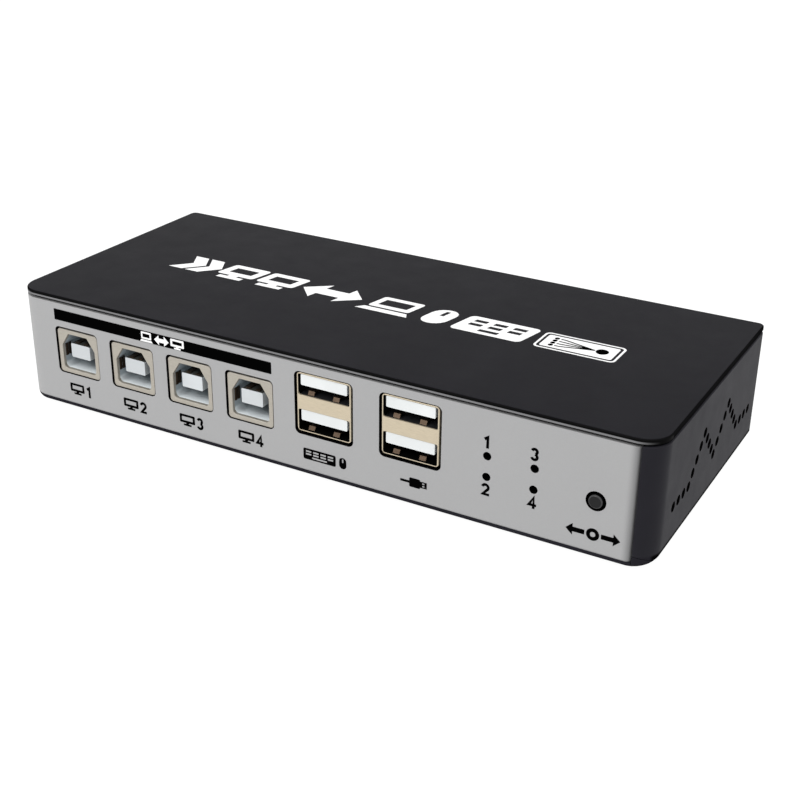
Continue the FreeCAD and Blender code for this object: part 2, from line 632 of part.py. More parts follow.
def make_double_contacts(x):
    """Under each tongue a row of strips, and on the floor of each opening two arched ground springs."""
    pieces = []
    y0 = SOCKET_Y + DOUBLE_TONGUE_BACK + STRIP_BACK
    y1 = SOCKET_Y + DOUBLE_CAVITY_D
    for z in DOUBLE_OPENINGS:
        under = z + TONGUE_DROP
        for index in range(DOUBLE_STRIPS):
            middle = x + (index - (DOUBLE_STRIPS - 1) / 2) * DOUBLE_STRIP_PITCH
            pieces.append(block(middle - DOUBLE_STRIP_W / 2, middle + DOUBLE_STRIP_W / 2, y0, y1,
                                under - STRIP_T, under))
        for offset in SPRING_X:
            pieces.append(ground_spring(x + offset, z - DOUBLE_OPEN_H / 2))
    return Part.makeCompound(pieces)


def ground_spring(x, floor):
    """A leaf that rises from the floor of the opening to a bend and falls again."""
    profile = [V(x - SPRING_W / 2, SOCKET_Y + y, floor + z) for y, z in SPRING_PROFILE]
    return Part.Face(Part.makePolygon(profile + profile[:1])).extrude(V(SPRING_W, 0, 0))


# --- Rear sockets ---
def make_video_shell(x):
    y1 = VIDEO_FACE_Y
    y0 = y1 - VIDEO_D
    shell = rounded_bar(x, VIDEO_CZ, VIDEO_W, VIDEO_H, y0, y1, SHELL_R)
    shell = filleted(shell, SHELL_EDGE_R, lambda edge: lies_at(edge, "y", y1))
    mouth = notched_bar(x, VIDEO_CZ, (VIDEO_OPEN_W, VIDEO_OPEN_H), VIDEO_NOTCH, VIDEO_FOOT_R,
                        y1 - VIDEO_CAVITY_D, y1 + 1, -1)
    inside = rounded_bar(x, VIDEO_CZ, VIDEO_W - 2 * SHELL_T, VIDEO_H - 2 * SHELL_T,
                         y0 - 1, y1 - VIDEO_CAVITY_D, SHELL_R - SHELL_T)
    return shell.cut(mouth).cut(inside)


def make_video_core(x):
    wall = SHELL_T + CORE_FIT
    y1 = VIDEO_FACE_Y - VIDEO_CAVITY_D
    core = rounded_bar(x, VIDEO_CZ, VIDEO_W - 2 * wall, VIDEO_H - 2 * wall,
                       VIDEO_FACE_Y - VIDEO_D, y1, SHELL_R - SHELL_T)
    tongue = rounded_bar(x, VIDEO_CZ, VIDEO_TONGUE_W, VIDEO_TONGUE_H, y1, VIDEO_FACE_Y - VIDEO_TONGUE_BACK,
                         TONGUE_EDGE_R)
    return core.fuse(tongue).removeSplitter()


def make_video_contacts():
    pieces = []
    y0 = VIDEO_FACE_Y - VIDEO_CAVITY_D
    y1 = VIDEO_FACE_Y - VIDEO_STRIP_BACK
    for x in VIDEO_X:
        for side, count in VIDEO_CONTACTS.items():
            face = VIDEO_CZ + side * VIDEO_TONGUE_H / 2
            low, high = sorted((face, face + side * VIDEO_STRIP_T))
            for index in range(count):
                left = x + (index - (count - 1) / 2) * VIDEO_STRIP_PITCH - VIDEO_STRIP_W / 2
                pieces.append(block(left, left + VIDEO_STRIP_W, y0, y1, low, high))
    return Part.makeCompound(pieces)


def make_jack_body():
    body = block(JACK_X - JACK_W / 2, JACK_X + JACK_W / 2, JACK_FACE_Y - JACK_D, JACK_FACE_Y,
                 BOARD_TOP, BOARD_TOP + JACK_H)
    body = filleted(body, 0.5, lambda edge: runs_along(edge, Y_AXIS))
    body = body.fuse(rod(JACK_X, JACK_FACE_Y, JACK_CZ, JACK_NOSE_R, JACK_NOSE_L, Y_AXIS))
    face = JACK_FACE_Y + JACK_NOSE_L
    return body.cut(rod(JACK_X, face - JACK_BORE_D, JACK_CZ, JACK_BORE_R, JACK_BORE_D, Y_AXIS))


def make_jack_pin():
    floor = JACK_FACE_Y + JACK_NOSE_L - JACK_BORE_D
    pin = rod(JACK_X, floor, JACK_CZ, JACK_PIN_R, JACK_PIN_L, Y_AXIS)
    return filleted(pin, 0.4, lambda edge: lies_at(edge, "y", floor + JACK_PIN_L))


def make_jack_spring():
    """A leaf that lies along the underside of the bore and presses on the plug's barrel."""
    floor = JACK_FACE_Y + JACK_NOSE_L - JACK_BORE_D
    width, length, thickness = JACK_LEAF
    low = JACK_CZ - math.sqrt(JACK_BORE_R ** 2 - (width / 2) ** 2)
    return block(JACK_X - width / 2, JACK_X + width / 2, floor, floor + length, low, low + thickness)


# --- Lamps ---
def make_lamp(x, z):
    body_y = FRONT_Y + WALL + LAMP_R
    back = body_y + LAMP_LENGTH
    lamp = Part.makeSphere(LAMP_R, V(x, body_y, z)).fuse(rod(x, body_y, z, LAMP_R, LAMP_LENGTH, Y_AXIS))
    behind = back + (UPPER_LEAD_BACK if z == LAMP_Z[0] else LOWER_LEAD_BACK)
    for side in (-1, 1):
        left = x + side * LEAD_PITCH / 2 - LEAD / 2
        lamp = lamp.fuse(block(left, left + LEAD, back - LEAD, behind + LEAD, z - LEAD / 2, z + LEAD / 2))
        lamp = lamp.fuse(block(left, left + LEAD, behind, behind + LEAD, BOARD_TOP, z))
    return lamp.removeSplitter()


def make_lamp_holder(x):
    holder = block(x - HOLDER_W / 2, x + HOLDER_W / 2, HOLDER_Y, HOLDER_Y + HOLDER_D, BOARD_TOP, HOLDER_TOP)
    holder = filleted(holder, HOLDER_EDGE_R, lambda edge: lies_at(edge, "z", HOLDER_TOP))
    for z in LAMP_Z:
        holder = holder.cut(rod(x, HOLDER_Y, z, LAMP_R + CORE_FIT, HOLDER_D, Y_AXIS))
    return holder


# --- Push button and its switch ---
CAP_FRONT = FRONT_Y - BUTTON_PROUD
PLUNGER_FRONT = CAP_FRONT + 1.6
PLUNGER_BACK = SWITCH_Y[0] + SWITCH_CAVITY - BUTTON_TRAVEL - 0.25


def make_button_cap():
    cap = rod(BUTTON_X, CAP_FRONT, BUTTON_Z, BUTTON_R, CAP_LENGTH, Y_AXIS)
    cap = filleted(cap, CAP_EDGE_R, lambda edge: lies_at(edge, "y", CAP_FRONT))
    return cap.cut(rod(BUTTON_X, PLUNGER_FRONT, BUTTON_Z, PLUNGER_R, CAP_LENGTH, Y_AXIS))


def make_switch_plunger():
    return rod(BUTTON_X, PLUNGER_FRONT, BUTTON_Z, PLUNGER_R, PLUNGER_BACK - PLUNGER_FRONT, Y_AXIS)


def make_switch_body():
    half = SWITCH_W / 2
    body = block(BUTTON_X - half, BUTTON_X + half, SWITCH_Y[0], SWITCH_Y[1],
                 BUTTON_Z - SWITCH_H / 2, BUTTON_Z + SWITCH_H / 2)
    body = filleted(body, 0.3, lambda edge: runs_along(edge, Y_AXIS))
    body = body.cut(rod(BUTTON_X, SWITCH_Y[0], BUTTON_Z, PLUNGER_R + PLUNGER_FIT, SWITCH_CAVITY, Y_AXIS))
    chamber = rod(BUTTON_X, SWITCH_Y[0] + 1.0, BUTTON_Z, DOME_R + 0.2, SWITCH_CAVITY - 1.0, Y_AXIS)
    body = body.cut(chamber)
    for side in (-1, 1):
        leg = BUTTON_X + side * (half - 0.5)
        left = leg - SWITCH_LEG_W / 2
        body = body.fuse(block(left, left + SWITCH_LEG_W, SWITCH_LEG_Y[0], SWITCH_LEG_Y[1],
                               BOARD_TOP, BUTTON_Z - SWITCH_H / 2 + SWITCH_LEG_W / 2))
    return body.removeSplitter()


def make_switch_dome():
    """The snap disc on the floor of the switch's chamber."""
    floor = SWITCH_Y[0] + SWITCH_CAVITY
    return rod(BUTTON_X, floor - DOME_T, BUTTON_Z, DOME_R, DOME_T, Y_AXIS)


# --- Electronics ---
def make_chip(x, y, side, height):
    """A flat package with a row of gull-wing leads on each edge."""
    half = side / 2
    chip = block(x - half, x + half, y - half, y + half, BOARD_TOP + 0.1, BOARD_TOP + 0.1 + height)
    chip = chamfered(chip, 0.15, lambda edge: lies_at(edge, "z", BOARD_TOP + 0.1 + height))
    pitch = 1.0
    count = int(side / pitch) - 1
    for index in range(count):
        offset = (index - (count - 1) / 2) * pitch
        for side_sign in (-1, 1):
            near, far = sorted((side_sign * (half - 0.2), side_sign * (half + 0.9)))
            chip = chip.fuse(block(x + offset - 0.2, x + offset + 0.2, y + near, y + far,
                                   BOARD_TOP, BOARD_TOP + 0.25))
            chip = chip.fuse(block(x + near, x + far, y + offset - 0.2, y + offset + 0.2,
                                   BOARD_TOP, BOARD_TOP + 0.25))
    return chip.removeSplitter()


def make_heat_sink():
    x, y = SWITCHER_AT
    half = SINK_SIDE / 2
    base = BOARD_TOP + 0.1 + SWITCHER_H
    sink = block(x - half, x + half, y - half, y + half, base, base + SINK_BASE)
    pitch = (SINK_SIDE - SINK_FIN_T) / (SINK_FINS - 1)
    for index in range(SINK_FINS):
        left = x - half + index * pitch
        sink = sink.fuse(block(left, left + SINK_FIN_T, y - half, y + half, base + SINK_BASE, base + SINK_H))
    return sink.removeSplitter()


def make_crystal(x, y):
    length, width, height = CRYSTAL_SIZE
    can = block(x - length / 2, x + length / 2, y - width / 2, y + width / 2, BOARD_TOP, BOARD_TOP + height)
    can = filleted(can, width / 2 - 0.05, lambda edge: runs_along(edge, Z_AXIS))
    return filleted(can, 0.4, lambda edge: lies_at(edge, "z", BOARD_TOP + height))


def make_capacitor(x, y):
    can_z = BOARD_TOP + CAPACITOR_BASE_H
    base = block(x - CAPACITOR_R, x + CAPACITOR_R, y - CAPACITOR_R, y + CAPACITOR_R, BOARD_TOP, can_z)
    can = rod(x, y, can_z, CAPACITOR_R, CAPACITOR_H - CAPACITOR_BASE_H, Z_AXIS)
    can = filleted(can, 0.5, lambda edge: lies_at(edge, "z", BOARD_TOP + CAPACITOR_H))
    return base.fuse(can)


def write_part(name, shape):
    """Writes one piece, after making sure that it is sound."""
    if not shape.isValid() or shape.Volume <= 0:
        raise ValueError(name + " is not a valid solid")
    shape.exportStep(os.path.join("parts", name + ".step"))
    box = shape.optimalBoundingBox()
    print("%-26s %2d solid(s) %9.2f mm3  x %.2f..%.2f  y %.2f..%.2f  z %.2f..%.2f" % (
        name, len(shape.Solids), shape.Volume, box.XMin, box.XMax, box.YMin, box.YMax, box.ZMin, box.ZMax))


def make_parts():
    parts = {
        "top_cover": make_top_cover(),
        "base_plate": make_base_plate(),
        "left_side": make_side(-1),
        "right_side": make_side(1),
        "front_panel": make_front_panel(),
        "rear_panel": make_rear_panel(),
        "case_screws": make_case_screws(),
        "board_screws": make_board_screws(),
        "main_board": make_main_board(),
        "video_contacts": make_video_contacts(),
        "power_jack_body": make_jack_body(),
        "power_jack_pin": make_jack_pin(),
        "power_jack_spring": make_jack_spring(),
        "button_cap": make_button_cap(),
        "switch_plunger": make_switch_plunger(),
        "switch_body": make_switch_body(),
        "switch_dome": make_switch_dome(),
        "switcher_chip": make_chip(*SWITCHER_AT, SWITCHER_SIDE, SWITCHER_H),
        "heat_sink": make_heat_sink(),
        "logic_chips": Part.makeCompound([make_chip(*chip) for chip in CHIPS]),
        "crystals": Part.makeCompound([make_crystal(x, y) for x, y in CRYSTALS]),
        "power_capacitors": Part.makeCompound([make_capacitor(x, y) for x, y in CAPACITORS]),
    }
    for number, (x, y) in enumerate(FEET, 1):
        parts["rubber_foot_%d" % number] = make_foot(x, y)
    for number, x in enumerate(SQUARE_XS, 1):
        parts["square_socket_shell_%d" % number] = make_square_shell(x)
        parts["square_socket_core_%d" % number] = make_square_core(x)
        parts["square_socket_contacts_%d" % number] = make_square_contacts(x)
    for number, x in enumerate(DOUBLE_X, 1):
        parts["double_socket_shell_%d" % number] = make_double_shell(x)
        parts["double_socket_core_%d" % number] = make_double_core(x)
        parts["double_socket_contacts_%d" % number] = make_double_contacts(x)
    for number, x in enumerate(VIDEO_X, 1):
        parts["video_socket_shell_%d" % number] = make_video_shell(x)
        parts["video_socket_core_%d" % number] = make_video_core(x)
    for number, (x, z) in enumerate(LAMP_SPOTS, 1):
        parts["status_lamp_%d" % number] = make_lamp(x, z)
    for side, x in zip(("left", "right"), LAMP_X):
        parts["lamp_holder_%s" % side] = make_lamp_holder(x)
    return parts


os.makedirs("parts", exist_ok=True)
for part_name, part_shape in make_parts().items():
    write_part(part_name, part_shape)
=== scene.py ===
import math

import bmesh
import bpy
from mathutils import Matrix, Vector
from mathutils.geometry import tessellate_polygon


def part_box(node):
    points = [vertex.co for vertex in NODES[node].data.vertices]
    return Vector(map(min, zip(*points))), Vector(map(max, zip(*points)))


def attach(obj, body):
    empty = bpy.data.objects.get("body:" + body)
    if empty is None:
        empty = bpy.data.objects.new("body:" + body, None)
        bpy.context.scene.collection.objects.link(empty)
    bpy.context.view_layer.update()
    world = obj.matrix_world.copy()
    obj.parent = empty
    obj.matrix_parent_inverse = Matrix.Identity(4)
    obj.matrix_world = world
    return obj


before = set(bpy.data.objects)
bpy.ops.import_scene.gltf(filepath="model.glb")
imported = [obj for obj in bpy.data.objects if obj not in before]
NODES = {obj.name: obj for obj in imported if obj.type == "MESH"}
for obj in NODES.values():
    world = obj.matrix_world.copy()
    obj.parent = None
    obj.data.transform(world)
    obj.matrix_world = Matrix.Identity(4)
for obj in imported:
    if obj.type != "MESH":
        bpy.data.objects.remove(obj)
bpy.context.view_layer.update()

# Looks of the KVM switch: X right along the front, the silver panel faces -Y, +Z up.
# Blender works in metres. Places and sizes on the object are written in mm and multiplied by MM.
MM = 0.001
FRONT_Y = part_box("front_panel")[0][1] / MM
BACK_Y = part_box("rear_panel")[1][1] / MM
TOP_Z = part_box("top_cover")[1][2] / MM


def corners(name):
    """A node's lowest and highest corner in mm."""
    return [Vector(corner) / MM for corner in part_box(name)]


def middle_x(name):
    """The middle of a node along X in mm."""
    low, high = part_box(name)
    return (low[0] + high[0]) / 2 / MM


def between(value, limits):
    return limits[0] < value < limits[1]


# ---------------------------------------------------------------- node material toolkit
class Look:
    """A Principled material, with short calls for the procedural detail on it."""

    def __init__(self, name, colour, roughness, metallic=0.0, specular=0.5, coat=0.0):
        self.material = bpy.data.materials.new(name)
        self.material.use_nodes = True
        self.tree = self.material.node_tree
        self.shader = self.tree.nodes["Principled BSDF"]
        self.shader.inputs["Metallic"].default_value = metallic
        self.shader.inputs["Specular IOR Level"].default_value = specular
        self.shader.inputs["Coat Weight"].default_value = coat
        self.shader.inputs["Coat Roughness"].default_value = 0.1
        self.coords = self.add("ShaderNodeTexCoord").outputs["Object"]
        self.colour = colour
        self.roughness = roughness
        self.height = None

    def add(self, kind, **settings):
        node = self.tree.nodes.new(kind)
        for key, value in settings.items():
            setattr(node, key, value)
        return node

    def link(self, source, socket):
        """Joins a node's output to a socket, or sets a plain number or colour on it."""
        if isinstance(source, bpy.types.NodeSocket):
            self.tree.links.new(source, socket)
        elif isinstance(source, tuple) and len(source) == 3 and socket.type == "RGBA":
            socket.default_value = (*source, 1.0)
        else:
            socket.default_value = source

    def maths(self, operation, a, b=0.0, clamp=False):
        node = self.add("ShaderNodeMath", operation=operation, use_clamp=clamp)
        self.link(a, node.inputs[0])
        self.link(b, node.inputs[1])
        return node.outputs[0]

    def noise(self, size_mm, detail=4.0, roughness=0.55, stretch=(1.0, 1.0, 1.0)):
        """Noise from 0 to 1 whose features are about size_mm across; stretch scales the axes."""
        mapping = self.add("ShaderNodeMapping")
        mapping.inputs["Scale"].default_value = stretch
        self.link(self.coords, mapping.inputs["Vector"])
        node = self.add("ShaderNodeTexNoise")
        self.link(mapping.outputs[0], node.inputs["Vector"])
        node.inputs["Scale"].default_value = 1.0 / (size_mm * MM)
        node.inputs["Detail"].default_value = detail
        node.inputs["Roughness"].default_value = roughness
        return node.outputs["Fac"]

    def cells(self, size_mm):
        """The distance to the middles of cells about size_mm across."""
        node = self.add("ShaderNodeTexVoronoi")
        self.link(self.coords, node.inputs["Vector"])
        node.inputs["Scale"].default_value = 1.0 / (size_mm * MM)
        return node.outputs["Distance"]

    def ramp(self, value, start, end, out_start=0.0, out_end=1.0):
        """Goes smoothly from out_start to out_end as value goes from start to end, up or down."""
        node = self.add("ShaderNodeMapRange", interpolation_type="SMOOTHSTEP")
        self.link(value, node.inputs["Value"])
        node.inputs["From Min"].default_value = start
        node.inputs["From Max"].default_value = end
        node.inputs["To Min"].default_value = out_start
        node.inputs["To Max"].default_value = out_end
        return node.outputs[0]

    def axis(self, name):
        """The place along an axis of the object, in metres."""
        node = self.add("ShaderNodeSeparateXYZ")
        self.link(self.coords, node.inputs[0])
        return node.outputs[name]

    def place(self, axis, zero_mm, one_mm):
        """0 up to zero_mm along an axis of the object and 1 from one_mm on, in either direction."""
        return self.ramp(self.axis(axis), zero_mm * MM, one_mm * MM)

    def both(self, *factors):
        """The product of the factors."""
        product = factors[0]
        for factor in factors[1:]:
            product = self.maths("MULTIPLY", product, factor)
        return product

    def edges(self, radius_mm):
        """1 on convex and concave edges, 0 on the flats."""
        bevel = self.add("ShaderNodeBevel", samples=6)
        bevel.inputs["Radius"].default_value = radius_mm * MM
        flat = self.add("ShaderNodeNewGeometry").outputs["Normal"]
        dot = self.add("ShaderNodeVectorMath", operation="DOT_PRODUCT")
        self.link(bevel.outputs[0], dot.inputs[0])
        self.link(flat, dot.inputs[1])
        return self.ramp(dot.outputs["Value"], 0.999, 0.90)

    def rubbed(self, radius_mm, size_mm, *share, detail=6.0):
        """Patchy wear along the edges; share weakens it."""
        return self.both(self.edges(radius_mm), self.noise(size_mm, detail=detail), *share)

    def tint(self, factor, colour):
        """Moves the base colour towards colour where factor is high."""
        node = self.add("ShaderNodeMix", data_type="RGBA", clamp_factor=True)
        self.link(factor, node.inputs["Factor"])
        self.link(self.colour, node.inputs[6])
        self.link(colour, node.inputs[7])
        self.colour = node.outputs[2]

    def patches(self, value, start, end, share, colour):
        """Tints with colour: not at all where value is at start, and by that share where it is at end."""
        self.tint(self.ramp(value, start, end, 0.0, share), colour)

    def vary_roughness(self, value, amount):
        """Adds value's swing about a half, times amount, to the roughness."""
        swing = self.maths("MULTIPLY", self.maths("SUBTRACT", value, 0.5), amount)
        self.roughness = self.maths("ADD", swing, self.roughness, clamp=True)

    def raise_by(self, value, height_mm):
        """Adds a relief of that height to the surface."""
        relief = self.maths("MULTIPLY", value, height_mm * MM)
        self.height = relief if self.height is None else self.maths("ADD", self.height, relief)

    def done(self):
        self.link(self.colour, self.shader.inputs["Base Color"])
        self.link(self.roughness, self.shader.inputs["Roughness"])
        if self.height is not None:
            bump = self.add("ShaderNodeBump")
            bump.inputs["Distance"].default_value = 1.0
            bump.inputs["Strength"].default_value = 1.0
            self.link(self.height, bump.inputs["Height"])
            self.link(bump.outputs[0], self.shader.inputs["Normal"])
        return self.material


# ---------------------------------------------------------------- materials
MOULD_GRAIN = 0.22
MOULD_CLOUDS = 18.0
MOULD_EDGE = 0.35


def lighter(colour, factor, offset=0.0):
    """The colour times factor plus offset, which a factor below 1 makes darker."""
    return tuple(min(1.0, c * factor + offset) for c in colour)


def moulded(name, colour, roughness, grain_mm=MOULD_GRAIN, depth_mm=0.005, specular=0.5, wear=0.3):
    """Moulded plastic with spark-eroded grain, faint flow clouds and rubbed edges."""
    look = Look(name, colour, roughness, specular=specular)
    look.patches(look.noise(MOULD_CLOUDS, detail=3.0), 0.35, 0.75, 0.5, lighter(colour, 1.3, 0.002))
    look.raise_by(look.noise(grain_mm, detail=2.0), depth_mm)
    look.raise_by(look.cells(grain_mm * 2.4), depth_mm * 0.5)
    look.vary_roughness(look.noise(6.0, detail=5.0), 0.14)
    if wear:
        look.tint(look.rubbed(MOULD_EDGE, 1.2, wear), lighter(colour, 1.8, 0.015))
    return look.done()


def silver_lacquer():
    """Satin silver paint: fine flakes, slight orange peel, and a trace of wear at the edges.

    It has painted shade where the panel turns into the right front corner and along its rounded foot.
    """
    look = Look("silver_lacquer", (0.340, 0.340, 0.342), 0.5, metallic=0.1, specular=0.3)
    flakes = look.cells(0.09)
    look.patches(flakes, 0.25, 0.7, 0.2, (0.46, 0.46, 0.465))
    look.patches(look.noise(22.0, detail=2.0), 0.4, 0.7, 0.12, (0.31, 0.31, 0.315))
    look.raise_by(look.noise(0.9, detail=2.0), 0.004)
    look.raise_by(flakes, 0.001)
    look.vary_roughness(look.noise(4.0, detail=5.0), 0.08)
    look.tint(look.rubbed(0.2, 0.8, 0.3), (0.55, 0.55, 0.55))
    # Painted shade: darker where the panel turns into the right front corner and along its rounded foot.
    painted_shade = (0.10, 0.10, 0.102)
    look.tint(look.both(look.place("X", 71.6, 74.0), 0.75), painted_shade)
    look.tint(look.both(look.place("Z", 2.75, 2.3), 0.55), painted_shade)
    return look.done()


def case_plastic():
    """The case's plastic, with painted shade along the bottom edges of the sides, and without shine low down.
    """
    colour = (0.0150, 0.0145, 0.0185)
    shine = 0.05
    look = Look("case_plastic", colour, 0.5, specular=shine)
    look.patches(look.noise(MOULD_CLOUDS, detail=3.0), 0.35, 0.75, 0.5, lighter(colour, 1.3, 0.001))
    look.raise_by(look.noise(MOULD_GRAIN, detail=2.0), 0.005)
    look.raise_by(look.cells(0.53), 0.0025)
    look.vary_roughness(look.noise(6.0, detail=5.0), 0.14)
    look.tint(look.rubbed(MOULD_EDGE, 1.2, 0.3), lighter(colour, 1.8, 0.015))
    # Painted shade: near black along the bottom edges of the sides, where they turn down towards the floor.
    on_side = look.ramp(look.maths("ABSOLUTE", look.axis("X")), 76.8 * MM, 77.4 * MM)
    look.tint(look.both(on_side, look.place("Z", 3.9, 3.3)), (0.002, 0.002, 0.002))
    look.link(look.both(look.place("Z", 3.2, 4.0), shine), look.shader.inputs["Specular IOR Level"])
    return look.done()


def lid_rim_highlight():
    """The lid's edge along the front: near black for painted shade, with a painted grey highlight that ends
    at the corner.
    """
    look = Look("lid_rim_highlight", (0.003, 0.003, 0.003), 0.4, specular=0.01)
    above_seam = look.place("Z", 27.52, 27.66)
    below_round = look.place("Z", 28.12, 27.98)
    before_corner = look.place("X", 77.0, 72.0)
    # Painted highlight: a grey line low on the front edge, fading out before the corner.
    look.tint(look.both(above_seam, below_round, before_corner), (0.19, 0.19, 0.195))
    look.raise_by(look.noise(MOULD_GRAIN, detail=2.0), 0.003)
    look.vary_roughness(look.noise(6.0, detail=5.0), 0.14)
    return look.done()


def square_core():
    """Blue-grey moulded plastic, with a painted pool of light on the floor of the opening towards the front.
    """
    colour = (0.36, 0.41, 0.44)
    look = Look("core_blue_grey", colour, 0.4, specular=0.3)
    look.patches(look.noise(3.0, detail=3.0), 0.35, 0.75, 0.4, lighter(colour, 0.85))
    # Painted light: near white on the floor of the opening, fading in towards the back.
    low = look.place("Z", 12.6, 11.6)
    towards_front = look.place("Y", FRONT_Y + 7.0, FRONT_Y + 0.5)
    look.tint(look.both(low, towards_front), (0.85, 0.90, 0.92))
    look.raise_by(look.noise(MOULD_GRAIN, detail=2.0), 0.003)
    look.vary_roughness(look.noise(2.0, detail=4.0), 0.14)
    return look.done()


def plated(name, colour, roughness, grain=(1.0, 1.0, 14.0), metallic=0.85):
    """Rolled and plated sheet metal with fine draw lines and dull patches."""
    look = Look(name, colour, roughness, metallic=metallic)
    lines = look.noise(1.4, detail=6.0, stretch=grain)
    look.patches(lines, 0.35, 0.7, 0.45, lighter(colour, 0.75))
    look.raise_by(lines, 0.003)
    look.vary_roughness(look.noise(1.1, detail=5.0), 0.2)
    look.tint(look.rubbed(0.12, 0.5, 0.5, detail=5.0), lighter(colour, 1.2))
    return look.done()


def board_mask():
    """Green solder mask over copper tracks."""
    look = Look("solder_mask", (0.012, 0.11, 0.04), 0.3, coat=0.4)
    brick = look.add("ShaderNodeTexBrick")
    look.link(look.coords, brick.inputs["Vector"])
    brick.inputs["Scale"].default_value = 1.0 / (6.0 * MM)
    brick.inputs["Mortar Size"].default_value = 0.03
    tracks = look.maths("SUBTRACT", 1.0, brick.outputs["Fac"])
    look.tint(look.both(tracks, 0.35), (0.03, 0.2, 0.07))
    look.raise_by(tracks, 0.02)
    look.vary_roughness(look.noise(3.0), 0.1)
    return look.done()


def rubber():
    """Matt black rubber with a toothed surface and dusty patches."""
    look = Look("foot_rubber", (0.018, 0.018, 0.018), 0.82, specular=0.3)
    look.raise_by(look.noise(0.35, detail=4.0), 0.02)
    look.patches(look.noise(1.5, detail=6.0), 0.5, 0.75, 0.5, (0.07, 0.068, 0.062))
    return look.done()


def ink(name, colour):
    """Screen-printed ink: slightly uneven cover and a matt, lightly toothed surface."""
    look = Look(name, colour, 0.55, specular=0.0)
    look.patches(look.noise(0.5, detail=5.0), 0.55, 0.8, 0.3, lighter(colour, 0.86, 0.001))
    look.raise_by(look.noise(0.18, detail=3.0), 0.002)
    look.vary_roughness(look.noise(0.7), 0.15)
    return look.done()


LID = moulded("lid_plastic", (0.0076, 0.0073, 0.0098), 0.4, specular=0.10)
# Painted shade: a darker, unshiny copy of the lid plastic, for the lid's edge all round.
LID_EDGE_SHADE = moulded("lid_edge_shade", (0.005, 0.005, 0.0052), 0.4, specular=0.0, wear=0.0)
LID_RIM_HIGHLIGHT = lid_rim_highlight()
CASE = case_plastic()
# Painted shade: near black without shine, on the walls of holes and vents, inside the double sockets' shells
# and round the button cap's side; on the front panel it also stands for the black plastic behind the paint.
SHADE = moulded("shade_black", (0.002, 0.002, 0.002), 0.7, specular=0.0, wear=0.0)
SILVER = silver_lacquer()
NICKEL = plated("socket_nickel", (0.42, 0.39, 0.335), 0.42, metallic=0.5)
WARM_NICKEL = plated("warm_nickel", (0.575, 0.495, 0.365), 0.42, metallic=0.5)
COPPER = plated("contact_copper", (0.075, 0.05, 0.033), 0.4, grain=(1.0, 8.0, 1.0))
BRIGHT = plated("bright_steel", (0.75, 0.75, 0.76), 0.3)
BLACK_STEEL = plated("black_zinc", (0.07, 0.07, 0.075), 0.4)
WHITE_CORE = moulded("tongue_white", (0.66, 0.68, 0.68), 0.4, wear=0.0, depth_mm=0.003)
PALE_CORE = moulded("tongue_pale", (0.52, 0.545, 0.56), 0.4, wear=0.0, depth_mm=0.003)
# Painted shade: a near-black grey for the top face of the square sockets' tongues.
TONGUE_TOP_SHADE = moulded("tongue_top_shade", (0.045, 0.045, 0.04), 0.5, specular=0.1, wear=0.0, depth_mm=0.003)
SQUARE_CORE = square_core()
BLACK_CORE = moulded("core_black", (0.012, 0.012, 0.014), 0.45, wear=0.0, depth_mm=0.003)
GLOSS_BLACK = moulded("gloss_black", (0.012, 0.012, 0.012), 0.22, wear=0.15, depth_mm=0.001)
LENS = moulded("smoked_lens", (0.004, 0.004, 0.004), 0.3, specular=0.2, wear=0.0, depth_mm=0.001)
BUTTON = moulded("button_black", (0.014, 0.014, 0.0145), 0.45, specular=0.1, wear=0.0, grain_mm=0.12)
# Painted highlight: a lighter, shinier copy of the button's plastic for the rounding round its face.
BUTTON_RIM_HIGHLIGHT = moulded("button_rim_highlight", (0.048, 0.048, 0.049), 0.4, specular=0.2, wear=0.0, grain_mm=0.12)
CHIP = moulded("chip_compound", (0.02, 0.02, 0.021), 0.6, grain_mm=0.1, depth_mm=0.003)
BOARD = board_mask()
RUBBER = rubber()
SINK = plated("black_anodised", (0.03, 0.03, 0.032), 0.45, metallic=0.5)
CAN = plated("can_aluminium", (0.78, 0.78, 0.79), 0.25)
BLACK_INK = ink("black_ink", (0.0012, 0.0012, 0.0012))
WHITE_INK = ink("white_ink", (0.86, 0.86, 0.86))

# The first prefix that a node's name starts with gives its material.
BY_PREFIX = (
    ("top_cover", LID), ("base_plate", CASE), ("left_side", CASE), ("right_side", CASE),
    ("rear_panel", CASE), ("front_panel", SILVER), ("rubber_foot", RUBBER), ("case_screws", BLACK_STEEL),
    ("board_screws", BRIGHT), ("main_board", BOARD), ("square_socket_shell", NICKEL),
    ("square_socket_core", SQUARE_CORE), ("double_socket_shell", WARM_NICKEL),
    ("double_socket_core", BLACK_CORE),
    ("square_socket_contacts", COPPER), ("double_socket_contacts", COPPER), ("video_contacts", COPPER),
    ("video_socket_shell", NICKEL), ("video_socket_core", BLACK_CORE), ("power_jack_body", GLOSS_BLACK),
    ("power_jack", BRIGHT), ("button_cap", BUTTON), ("switch_dome", BRIGHT), ("switch_", GLOSS_BLACK),
    ("status_lamp", LENS), ("lamp_holder", BLACK_CORE), ("switcher_chip", CHIP), ("logic_chips", CHIP),
    ("heat_sink", SINK), ("crystals", BRIGHT), ("power_capacitors", CAN))


def dress_nodes():
    for name, node in NODES.items():
        material = next(m for prefix, m in BY_PREFIX if name.startswith(prefix))
        node.data.materials.clear()
        node.data.materials.append(material)


